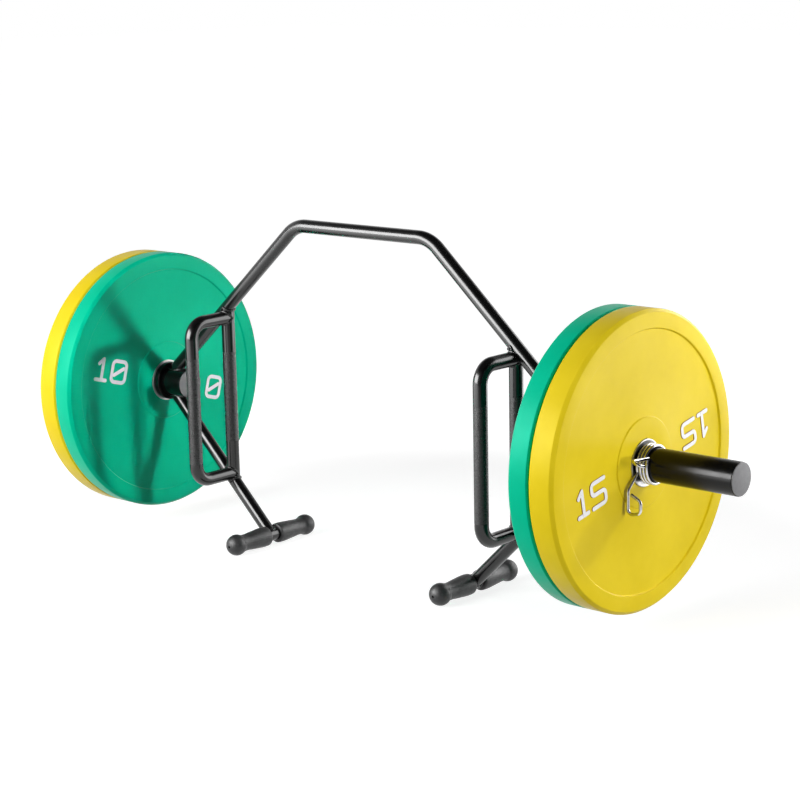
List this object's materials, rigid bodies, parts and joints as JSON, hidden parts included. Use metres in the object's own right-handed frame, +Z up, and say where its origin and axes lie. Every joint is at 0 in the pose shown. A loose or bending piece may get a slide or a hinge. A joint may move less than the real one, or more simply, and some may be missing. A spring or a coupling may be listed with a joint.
{
  "type": "open-ended trap bar",
  "caption": "Open-ended trap bar standing on T-shaped feet, loaded with discs that turn and slide on its sleeves behind wire spring collars.",
  "frame": {"origin": "on the floor, under the middle of the bar", "axes": "+Z up, +X along the sleeves to the right, -Y the side that the raised handles stand off, which is the front"},
  "size_m": [1.43, 0.449, 0.5671],
  "materials": {
    "gloss_black_paint": "glossy black paint over welded steel",
    "knurled_black": "black steel with a knurled, matt grip zone",
    "grip_rubber": "matt dark grey moulded rubber, lightly scuffed",
    "cap_grey": "matt mid-grey end cap",
    "green_rubber": "satin green solid rubber",
    "yellow_rubber": "satin yellow solid rubber",
    "hub_steel": "turned steel",
    "chrome_wire": "bright chrome plating"
  },
  "bodies": {
    "root": {"arch_bar": "gloss_black_paint", "lower_arm_left": "gloss_black_paint", "low_handle_left": "knurled_black", "raised_handle_left": "knurled_black", "foot_crossbar_left": "gloss_black_paint", "foot_grip_front_left": "grip_rubber", "foot_grip_rear_left": "grip_rubber", "sleeve_left": "gloss_black_paint", "sleeve_cap_inner_left": "cap_grey", "sleeve_cap_outer_left": "cap_grey", "stop_flange_left": "gloss_black_paint", "lower_arm_right": "gloss_black_paint", "low_handle_right": "knurled_black", "raised_handle_right": "knurled_black", "foot_crossbar_right": "gloss_black_paint", "foot_grip_front_right": "grip_rubber", "foot_grip_rear_right": "grip_rubber", "sleeve_right": "gloss_black_paint", "sleeve_cap_inner_right": "cap_grey", "sleeve_cap_outer_right": "cap_grey", "stop_flange_right": "gloss_black_paint"},
    "ring_10_left": {"plate_ring_10_left": "hub_steel"},
    "plate_10_left": {"plate_10_left": "green_rubber"},
    "ring_15_left": {"plate_ring_15_left": "hub_steel"},
    "plate_15_left": {"plate_15_left": "yellow_rubber"},
    "collar_left": {"spring_collar_left": "chrome_wire"},
    "ring_10_right": {"plate_ring_10_right": "hub_steel"},
    "plate_10_right": {"plate_10_right": "green_rubber"},
    "ring_15_right": {"plate_ring_15_right": "hub_steel"},
    "plate_15_right": {"plate_15_right": "yellow_rubber"},
    "collar_right": {"spring_collar_right": "chrome_wire"}
  },
  "joints": [
    {"name": "plate_10_slide_left", "type": "slide", "parent": "root", "child": "ring_10_left", "axis": [-1, 0, 0], "range_m": [0, 0.243]},
    {"name": "plate_10_spin_left", "type": "hinge", "parent": "ring_10_left", "child": "plate_10_left", "pos_m": [-0.4913, 0, 0.259], "axis": [1, 0, 0], "continuous": true},
    {"name": "plate_15_slide_left", "type": "slide", "parent": "ring_10_left", "child": "ring_15_left", "axis": [-1, 0, 0], "range_m": [0, 0.2045]},
    {"name": "plate_15_spin_left", "type": "hinge", "parent": "ring_15_left", "child": "plate_15_left", "pos_m": [-0.53185, 0, 0.259], "axis": [1, 0, 0], "continuous": true},
    {"name": "collar_slide_left", "type": "slide", "parent": "ring_15_left", "child": "collar_left", "axis": [-1, 0, 0], "range_m": [0, 0.162]},
    {"name": "plate_10_slide_right", "type": "slide", "parent": "root", "child": "ring_10_right", "axis": [1, 0, 0], "range_m": [0, 0.243]},
    {"name": "plate_10_spin_right", "type": "hinge", "parent": "ring_10_right", "child": "plate_10_right", "pos_m": [0.4913, 0, 0.259], "axis": [1, 0, 0], "continuous": true},
    {"name": "plate_15_slide_right", "type": "slide", "parent": "ring_10_right", "child": "ring_15_right", "axis": [1, 0, 0], "range_m": [0, 0.2045]},
    {"name": "plate_15_spin_right", "type": "hinge", "parent": "ring_15_right", "child": "plate_15_right", "pos_m": [0.53185, 0, 0.259], "axis": [1, 0, 0], "continuous": true},
    {"name": "collar_slide_right", "type": "slide", "parent": "ring_15_right", "child": "collar_right", "axis": [1, 0, 0], "range_m": [0, 0.162]}
  ]
}
